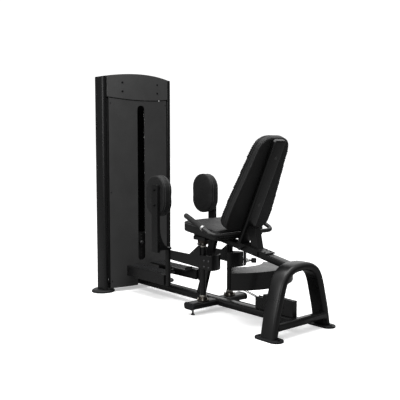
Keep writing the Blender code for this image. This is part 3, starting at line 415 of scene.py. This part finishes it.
def pad(node, centre, u, v, n, rests, seams, voxel=0.005, cap=0.005, pressure=4.0, grow=0.0040, crown=0.0, edge_out=0.0, wide=1.0):
    """The cushion at a CAD pad: swollen by a short cloth run, with its seams drawn in and welted.
    u, v and n are its width, height and thickness directions; rests is the direction of the face that lies on its backing."""
    body = BODY[node]
    bm = welded(node)
    bmesh.ops.triangulate(bm, faces=bm.faces)
    mesh = bpy.data.meshes.new(node + "_cushion")
    bm.to_mesh(mesh)
    bm.free()
    obj = bpy.data.objects.new(node + "_cushion", mesh)
    scene.collection.objects.link(obj)
    remesh = obj.modifiers.new("voxels", "REMESH")
    remesh.mode = "VOXEL"
    remesh.voxel_size = voxel
    remesh.use_smooth_shade = True
    relax = obj.modifiers.new("relax", "SMOOTH")
    relax.factor, relax.iterations = 0.5, 2
    graph = bpy.context.evaluated_depsgraph_get()
    shaped = bpy.data.meshes.new_from_object(obj.evaluated_get(graph))
    obj.modifiers.clear()
    obj.data = shaped
    backing = Vector(rests).normalized()
    # the walls stand a little proud of the CAD outline, as stretched vinyl over foam does
    start = [(vert.co + (vert.normal - backing * vert.normal.dot(backing)) * grow, vert.normal.copy()) for vert in shaped.vertices]
    for vert, (co, _) in zip(shaped.vertices, start):
        vert.co = co
    cloth = obj.modifiers.new("cloth", "CLOTH")
    s = cloth.settings
    s.use_pressure = True
    s.uniform_pressure_force = pressure
    s.effector_weights.gravity = 0
    s.quality = 5
    s.tension_stiffness = s.compression_stiffness = 18
    s.bending_stiffness = 2.5
    cloth.collision_settings.use_self_collision = False
    cloth.point_cache.frame_start, cloth.point_cache.frame_end = 1, 20
    for number in range(1, 21):
        scene.frame_set(number)
    graph = bpy.context.evaluated_depsgraph_get()
    blown = bpy.data.meshes.new_from_object(obj.evaluated_get(graph))
    moved = [vert.co.copy() for vert in blown.vertices]
    obj.modifiers.clear()
    scene.frame_set(1)
    u, v, n = (Vector(d).normalized() for d in (u, v, n))
    centre = Vector(centre)
    half_u = max(abs((co - centre).dot(u)) for co, _ in start)
    half_v = max(abs((co - centre).dot(v)) for co, _ in start)
    steps = []
    for (co, normal), swollen in zip(start, moved):
        step = swollen - co
        if step.length > cap:
            step *= cap / step.length
        steps.append(step)
    for _ in range(10):
        total, count = [Vector() for _ in steps], [0] * len(steps)
        for edge in shaped.edges:
            i, j = edge.vertices
            total[i] += steps[j]
            total[j] += steps[i]
            count[i] += 1
            count[j] += 1
        steps = [step * 0.4 + t * (0.6 / max(c, 1)) for step, t, c in zip(steps, total, count)]
    for vert, (co, normal), step in zip(shaped.vertices, start, steps):
        wall = normal - backing * normal.dot(backing)
        sideways = step - backing * step.dot(backing)
        if sideways.dot(wall) < 0:
            step = step - sideways * 0.85
        # the cover is pulled tight over the foam's edge, which stays nearly square
        rim = (2 * wall.length * max(0.0, -normal.dot(backing))) ** 1.5
        step = step + (wall.normalized() * edge_out - backing * 0.0025) * rim if wall.length > 1e-6 else step
        step += u * ((wide - 1) * (co - centre).dot(u))
        towards = max(0.0, normal.dot(backing))
        step -= backing * step.dot(backing) * min(1.0, towards * 1.6)
        # the show face is crowned, and the walls stay close to the outline between the corners
        a, b = (co - centre).dot(u) / half_u, (co - centre).dot(v) / half_v
        facing = max(0.0, -normal.dot(backing))
        step += -backing * crown * facing * max(0.0, (1 - a * a)) ** 0.6 * max(0.0, (1 - b * b)) ** 0.6
        # slow unevenness of the foam under the cover
        step += normal * 0.0007 * noise.noise(co * 16) * (1 - min(1.0, towards * 1.6))
        vert.co = co + step
    finer = obj.modifiers.new("finer", "SUBSURF")
    finer.levels = finer.render_levels = 1
    graph = bpy.context.evaluated_depsgraph_get()
    final = bpy.data.meshes.new_from_object(obj.evaluated_get(graph))
    obj.modifiers.clear()
    obj.data = final

    final.calc_loop_triangles()
    tree = BVHTree.FromPolygons([p.co.copy() for p in final.vertices], [tuple(t.vertices) for t in final.loop_triangles])
    paths = []
    for depth in seams:
        ring = []
        for k in range(360):
            a = 2 * math.pi * k / 360
            away = u * math.cos(a) + v * math.sin(a)
            origin = centre + n * depth + away * 0.9
            hit = tree.ray_cast(origin, -away)[0]
            if hit is not None:
                ring.append(hit)
        paths.append(resample(ring, 260))
    lines = [p for path in paths for p in path]
    from_seam = BVHTree.FromPolygons(*strip(paths))
    normals = [vert.normal.copy() for vert in final.vertices]
    for vert, normal in zip(final.vertices, normals):
        co = vert.co.copy()
        near, _, _, far = from_seam.find_nearest(co, 0.0075)
        if near is not None:
            # drawn in at the stitching, with tiny gathers that run out from it
            lift = 0.00035 * math.exp(-(far / 0.006) ** 2) * noise.noise(co * 210)
            vert.co = co + normal * (lift - 0.0030 * math.exp(-(far / 0.0042) ** 2))
    for polygon in final.polygons:
        polygon.use_smooth = True
    final.materials.clear()
    final.materials.append(MAT["vinyl_black"])
    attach(obj, body)
    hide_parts(node)
    welt = bmesh.new()
    for path in paths:
        inward = [p + (centre + n * (p - centre).dot(n) - p).normalized() * 0.0012 for p in path]
        tube(welt, inward, 0.0021)
    bmesh.ops.recalc_face_normals(welt, faces=welt.faces)
    piping = place(node + "_welt", welt, "thread", body, 60)
    return obj, piping


def strip(paths):
    """Thin triangles along each path, so that a distance to the line can be asked for."""
    points, faces = [], []
    for path in paths:
        base = len(points)
        for p in path:
            points += [p, p + Vector((0, 0, 1e-5))]
        count = len(path)
        for i in range(count):
            j = (i + 1) % count
            faces.append((base + 2 * i, base + 2 * j, base + 2 * j + 1))
            faces.append((base + 2 * i, base + 2 * j + 1, base + 2 * i + 1))
    return points, faces


BACK_TILT = math.radians(25.2)
back_up = Vector((0, -math.sin(BACK_TILT), math.cos(BACK_TILT)))
back_fwd = Vector((0, math.cos(BACK_TILT), math.sin(BACK_TILT)))
back_foot = at(0, 0.389, 0.460)
pad(
    "backrest_pad",
    back_foot + back_up * 0.330 + back_fwd * 0.0570,
    (1, 0, 0),
    back_up,
    back_fwd,
    -back_fwd,
    (-0.0190, 0.0130),
    cap=0.0040,
    crown=0.0050,
    wide=1.035,
)
seat_tilt = math.atan(0.095)
seat_up = Vector((0, -math.sin(seat_tilt), math.cos(seat_tilt)))
seat_fwd = Vector((0, math.cos(seat_tilt), math.sin(seat_tilt)))
pad(
    "seat_pad",
    at(0, 0.590, 0.4935 + (0.590 - 0.724) * 0.095) + seat_up * 0.0307,
    (1, 0, 0),
    seat_fwd,
    seat_up,
    -seat_up,
    (0.0200,),
    cap=0.0035,
    crown=0.0040,
    edge_out=0.0050,
    grow=0.0020,
)
for side, sign in (("left", -1), ("right", 1)):
    pad(
        f"{side}_knee_pad",
        at(sign * 0.1952, 0.974, 0.695),
        (0, 1, 0),
        (0, 0, 1),
        (-sign, 0, 0),
        (sign, 0, 0),
        (0.0150, -0.0200),
        voxel=0.0045,
        cap=0.0030,
        crown=0.0035,
        edge_out=0.0065,
        grow=0.0025,
        wide=1.03,
    )

# ================================================================ the painted frame, panels and moving steel
ROUND = {
    "rear_arch": 0.0, "handle_bar": 0.0, "main_cable": 0.0, "top_pulley": 0.0, "bottom_pulley": 0.0, "rear_pulley": 0.0,
    "tower_front_panel": 0.0012, "tower_rear_panel": 0.0012, "tower_header": 0.0022,
    "guide_rod_left": 0.0, "guide_rod_right": 0.0,
    "weight_stack_lower": 0.0009, "weight_stack_upper": 0.0009,
    "base_rail": 0.0022, "seat_rail": 0.0, "tower_base": 0.0018, "tower_top_beam": 0.0018, "bearing_bridge": 0.0018,
    "cam_guard": 0.0030, "left_arm_strap": 0.0012, "right_arm_strap": 0.0012, "left_foot_rest": 0.0020, "right_foot_rest": 0.0020,
    "left_knee_bracket": 0.0015, "right_knee_bracket": 0.0015, "pulley_riser": 0.0020, "seat_column": 0.0020,
    "left_end_post": 0.0014, "right_end_post": 0.0014, "stack_cushion": 0.0,
}
soft_pieces = {"backrest_pad", "seat_pad", "left_knee_pad", "right_knee_pad"}
for node in sorted(frame["nodes"]):
    if node in soft_pieces:
        continue
    # painted shade: the tower's rear panel takes the black powder coat in place of the panel paint, so the inside of
    # the tower seen through the slot looks shaded
    material = {"hand_grip_left": "foam", "hand_grip_right": "foam", "tower_header": "header", "tower_rear_panel": "powder_black"}.get(node)
    carry(node, ROUND.get(node, 0.0010), material)


# ================================================================ fasteners and trim
def bulge(x):
    return 1.464 - 0.033 * (1 - (x / 0.2555) ** 2)


def header_bolts(bm):
    for x in (-0.147, 0.147):
        slope = 2 * 0.033 * x / 0.2555**2
        for z in (1.437, 1.378):
            button_head(bm, at(x, bulge(x) - 0.0030, z), (slope, -1, 0), 0.0075, 0.0034)


group("header_bolts", "bolt", "frame", header_bolts)


def column_bolts(bm):
    for s in (-1, 1):
        for z in (0.449, 0.353):
            button_head(bm, at(s * 0.2722, 1.4640, z), (0, -1, 0), 0.0050, 0.0026)


group("column_bolts", "bolt", "frame", column_bolts)


def panel_screws(bm):
    for s in (-1, 1):
        for z in (0.075, 0.690, 1.296):
            x = s * 0.2330
            button_head(bm, at(x, bulge(x), z), (s * 0.236, -1, 0), 0.0042, 0.0020)


group("panel_screws", "bolt", "frame", panel_screws)


def panel_lining(bm):
    for s in (-1, 1):
        box_into(bm, at(min(s * 0.2360, s * 0.2553), 1.4712, 0.0680), at(max(s * 0.2360, s * 0.2553), 1.4740, 1.3300))


def box_into(bm, lo, hi):
    made = bmesh.ops.create_cube(bm, size=1.0)["verts"]
    size = hi - lo
    for vert in made:
        vert.co = Vector((lo[i] + (vert.co[i] + 0.5) * size[i] for i in range(3)))


group("panel_lining", "stack_iron", "frame", panel_lining)


def back_covers(bm):
    for s in (0.5300, 0.2350):
        origin = back_foot + back_up * s
        lathe(bm, [(0, -0.0005), (0.0100, -0.0005), (0.0100, 0.0010), (0.0088, 0.0022), (0.0030, 0.0028), (0, 0.0028)], origin, -back_fwd, 32)


group("back_post_covers", "cover", "backrest", back_covers)

for side, sign in (("left", -1), ("right", 1)):
    arm = f"{side}_arm"

    def strap_bolts(bm):
        for y in (0.605, 0.566):
            for z in (0.325, 0.288):
                if sign > 0 and y < 0.6:
                    continue
                button_head(bm, at(sign * 0.1370, y + (0.012 if sign > 0 else 0), z), (sign, 0, 0), 0.0078, 0.0042)

    group(f"{side}_strap_bolts", "bolt_worn", arm, strap_bolts)

    def strap_nuts(bm):
        for y in (0.605,):
            for z in (0.325,):
                hex_bolt(bm, at(sign * 0.1300, y + (0.012 if sign > 0 else 0), z), (-sign, 0, 0), 0.0072, 0.0050)

    group(f"{side}_strap_nuts", "zinc", arm, strap_nuts)

    def knee_bolts(bm):
        for z in (0.735, 0.640):
            hex_bolt(bm, at(sign * 0.2465, 0.950, z), (sign, 0, 0), 0.0072, 0.0048)

    group(f"{side}_knee_pad_bolts", "bolt", f"{side}_knee", knee_bolts)

    def knee_stud(bm):
        lathe(bm, [(0, 0.0), (0.0095, 0.0), (0.0095, 0.0012), (0, 0.0012)], at(sign * 0.137, 0.955, 0.3660), (0, 0, 1), 28)
        lathe(bm, [(0, 0.0012), (0.0080, 0.0012), (0.0080, 0.0062), (0.0070, 0.0074), (0, 0.0074)], at(sign * 0.137, 0.955, 0.3660), (0, 0, 1), 36, 6)

    def lower_bolts(bm):
        for k in range(4):
            a = math.radians(45 + 90 * k)
            p = at(sign * 0.110 + 0.0305 * math.cos(a), 0.645 + 0.0305 * math.sin(a), 0.0803)
            nut_and_stud(bm, p, (0, 0, 1), 0.0052)

    group(f"{side}_lower_bearing_nuts", "zinc", "frame", lower_bolts)

    def sleeve_collars(bm):
        for z, r, h in ((0.0992, 0.0212, 0.0085), (0.4025, 0.0208, 0.0078)):
            lathe(bm, [(0.0179, z), (r - 0.0008, z), (r, z + 0.0008), (r, z + h - 0.0008), (r - 0.0008, z + h), (0.0179, z + h)], at(sign * 0.110, 0.645, 0), (0, 0, 1), 40)

    group(f"{side}_sleeve_collars", "zinc", arm, sleeve_collars)

    def upper_bolts(bm):
        for k in range(4):
            a = math.radians(45 + 90 * k)
            p = at(sign * 0.110 + 0.0268 * math.cos(a), 0.645 + 0.0268 * math.sin(a), 0.4263)
            hex_bolt(bm, p, (0, 0, -1), 0.0048, 0.0046)

    group(f"{side}_upper_bearing_bolts", "zinc", "frame", upper_bolts)

    handle_dir = Vector((0, 1, 0.41)).normalized()
    collar_at = at(sign * 0.2440, 0.489, 0.5015 + (0.489 - 0.402) * 0.41)

    def grip_collar(bm):
        lathe(bm, [(0.0126, 0.0), (0.0150, 0.0), (0.0162, 0.0012), (0.0162, 0.0130), (0.0152, 0.0150), (0.0126, 0.0150)], collar_at, handle_dir, 32)

    group(f"{side}_grip_collar", "chrome", "backrest", grip_collar)

    def grip_ribs(bm):
        for k in range(19):
            p = at(sign * 0.2440, 0.506, 0.5015 + (0.506 - 0.402) * 0.41) + handle_dir * (0.012 + 0.0070 * k)
            lathe(bm, [(0.0140, 0.0), (0.0153, 0.0002), (0.01575, 0.0014), (0.01575, 0.0026), (0.0153, 0.0038), (0.0140, 0.0040)], p, handle_dir, 28)

    group(f"{side}_grip_ribs", "foam", "backrest", grip_ribs)

    def arch_bolt(bm):
        for y in (-0.068, 0.068):
            hex_bolt(bm, at(sign * 0.214, y, 0.0100), (0, 0, 1), 0.0075, 0.0050)

    group(f"{side}_arch_foot_bolts", "bolt", "frame", arch_bolt)

    def tread_ribs(bm):
        for k in range(24):
            y = 1.020 + 0.0155 * k
            x0, x1 = sign * 0.054, sign * 0.146
            lo, hi = min(x0, x1), max(x0, x1)
            corners = [at(x, y + dy, 0.1884 + dz) for x in (lo, hi) for dy, dz in ((-0.0024, -0.0004), (-0.0012, 0.0014), (0.0012, 0.0014), (0.0024, -0.0004))]
            ends = [[bm.verts.new(c) for c in corners[:4]], [bm.verts.new(c) for c in corners[4:]]]
            for i in range(4):
                j = (i + 1) % 4
                bm.faces.new((ends[0][i], ends[0][j], ends[1][j], ends[1][i]))
            bm.faces.new(ends[0])
            bm.faces.new(ends[1][::-1])

    group(f"{side}_tread_ribs", "rubber_black", arm, tread_ribs)


def carriage_bolts(bm):
    for s in (-1, 1):
        for y, z in ((0.285, 0.392), (0.392, 0.410)):
            button_head(bm, at(s * 0.0374, y, z), (s, 0, 0), 0.0055, 0.0030)
    for y in (0.216, 0.246):
        top = 0.345 + (y - 0.095) * 0.179 + 0.038 + 0.0006 + 0.0080
        for x in (-0.024, 0.024):
            button_head(bm, at(x, y, top), (0, -0.176, 1), 0.0052, 0.0030)


group("carriage_bolts", "bolt", "backrest", carriage_bolts)


def riser_bolts(bm):
    for s in (-1, 1):
        for y, z in ((0.085, 0.120), (0.175, 0.145)):
            button_head(bm, at(s * 0.0170, y, z), (s, 0, 0), 0.0060, 0.0032)


group("riser_bolts", "bolt", "frame", riser_bolts)


# ================================================================ floor, light and camera
FLOOR_GLOW = 0.38
floor = bpy.data.meshes.new("studio_floor")
floor.from_pydata([(-40, -40, 0), (40, -40, 0), (40, 40, 0), (-40, 40, 0)], [], [(0, 1, 2, 3)])
ground = bpy.data.objects.new("studio_floor", floor)
scene.collection.objects.link(ground)
f = Nodes("Studio_floor")
f.put(f.shader.inputs["Base Color"], f.mix(f.spread(f.noise(0.8, 3), 0.3, 0.7, 0.0, 1.0), (0.955, 0.955, 0.955), (0.965, 0.965, 0.965)))
f.shader.inputs["Roughness"].default_value = 0.9
f.shader.inputs["Specular IOR Level"].default_value = 0.0
f.shader.inputs["Emission Color"].default_value = (1, 1, 1, 1)
f.shader.inputs["Emission Strength"].default_value = FLOOR_GLOW
# the pale sweep is bright to the eye, and throws little light back up at the black paint
dim = f.add("ShaderNodeBsdfDiffuse")
dim.inputs["Color"].default_value = (0.20, 0.20, 0.20, 1)
seen_by_eye = f.add("ShaderNodeLightPath").outputs["Is Camera Ray"]
either = f.add("ShaderNodeMixShader")
f.put(either.inputs[0], seen_by_eye)
f.put(either.inputs[1], dim.outputs[0])
f.put(either.inputs[2], f.shader.outputs[0])
f.put(next(n for n in f.tree.nodes if n.type == "OUTPUT_MATERIAL").inputs["Surface"], either.outputs[0])
floor.materials.append(f.mat)

world = bpy.data.worlds.new("Studio")
scene.world = world
world.use_nodes = True
tree = world.node_tree
tree.nodes.clear()
out = tree.nodes.new("ShaderNodeOutputWorld")
seen = tree.nodes.new("ShaderNodeBackground")
seen.inputs["Color"].default_value = (1, 1, 1, 1)
seen.inputs["Strength"].default_value = 1.1
lit = tree.nodes.new("ShaderNodeBackground")
lit.inputs["Strength"].default_value = 1.0
coords = tree.nodes.new("ShaderNodeTexCoord")
split = tree.nodes.new("ShaderNodeSeparateXYZ")
tree.links.new(coords.outputs["Generated"], split.inputs[0])


def world_node(kind, values, **settings):
    node = tree.nodes.new(kind)
    for key, value in settings.items():
        setattr(node, key, value)
    for key, value in values.items():
        if isinstance(value, bpy.types.NodeSocket):
            tree.links.new(value, node.inputs[key])
        else:
            node.inputs[key].default_value = value
    return node.outputs[0] if kind != "ShaderNodeVectorMath" else node.outputs["Value"]


def world_ramp(value, a, b, low, high):
    return world_node("ShaderNodeMapRange", {"Value": value, "From Min": a, "From Max": b, "To Min": low, "To Max": high}, interpolation_type="SMOOTHSTEP")


# a dark room with a bright ceiling, and a white wall behind the machine
ceiling = world_ramp(split.outputs["Z"], 0.05, 0.95, 0.07, 1.35)
behind = world_ramp(world_node("ShaderNodeVectorMath", {0: coords.outputs["Generated"], 1: (0.66, 0.75, 0.0)}, operation="DOT_PRODUCT"), 0.55, 0.98, 0.0, 1.1)
leftwards = world_ramp(world_node("ShaderNodeVectorMath", {0: coords.outputs["Generated"], 1: (-0.98, -0.05, 0.2)}, operation="DOT_PRODUCT"), 0.2, 1.0, 0.0, 0.30)
total = world_node("ShaderNodeMath", {0: world_node("ShaderNodeMath", {0: ceiling, 1: behind}, operation="ADD"), 1: leftwards}, operation="ADD")
tree.links.new(total, lit.inputs["Strength"])
path = tree.nodes.new("ShaderNodeLightPath")
blend = tree.nodes.new("ShaderNodeMixShader")
tree.links.new(path.outputs["Is Camera Ray"], blend.inputs[0])
tree.links.new(lit.outputs[0], blend.inputs[1])
tree.links.new(seen.outputs[0], blend.inputs[2])
tree.links.new(blend.outputs[0], out.inputs["Surface"])


def area(name, place_at, aim, size, power):
    data = bpy.data.lights.new(name, "AREA")
    data.shape = "RECTANGLE"
    data.size, data.size_y = size
    data.energy = power
    lamp = bpy.data.objects.new(name, data)
    scene.collection.objects.link(lamp)
    lamp.location = place_at
    lamp.rotation_euler = (Vector(aim) - Vector(place_at)).to_track_quat("-Z", "Y").to_euler()
    return lamp


area("overhead_softbox", (-0.6, -0.3, 3.4), (0, 0.1, 0.4), (3.0, 3.0), 110)
area("left_softbox", (-4.2, 0.4, 1.9), (0, 0.2, 0.7), (2.0, 2.0), 46)
area("eye_side_softbox", (-4.0, -3.2, 1.9), (0, -0.2, 0.5), (1.0, 1.0), 22)

scene.view_settings.view_transform = "Standard"
scene.view_settings.look = "None"
scene.view_settings.exposure = 0.0
scene.view_settings.gamma = 1.0

lens = bpy.data.cameras.new("photo_view")
lens.lens = 57.84
lens.sensor_width = 36.0
lens.sensor_fit = "HORIZONTAL"
lens.clip_end = 200
camera = bpy.data.objects.new("photo_view", lens)
scene.collection.objects.link(camera)
camera.location = (-2.62005, -3.01246, 1.00781)
camera.rotation_euler = (math.radians(85.1835), 0.0, math.radians(-40.630))
scene.camera = camera

group("plate_tags", "label", "frame", lambda bm: [box_into(bm, at(0.010, 1.4602, 0.166 + 0.025 * k + 0.0085), at(0.022, 1.4612, 0.166 + 0.025 * k + 0.0165)) for k in range(6)])
group("plate_tags_lifted", "label", "stack", lambda bm: [box_into(bm, at(0.010, 1.4602, 0.316 + 0.025 * k + 0.0085), at(0.022, 1.4612, 0.316 + 0.025 * k + 0.0165)) for k in range(3)])
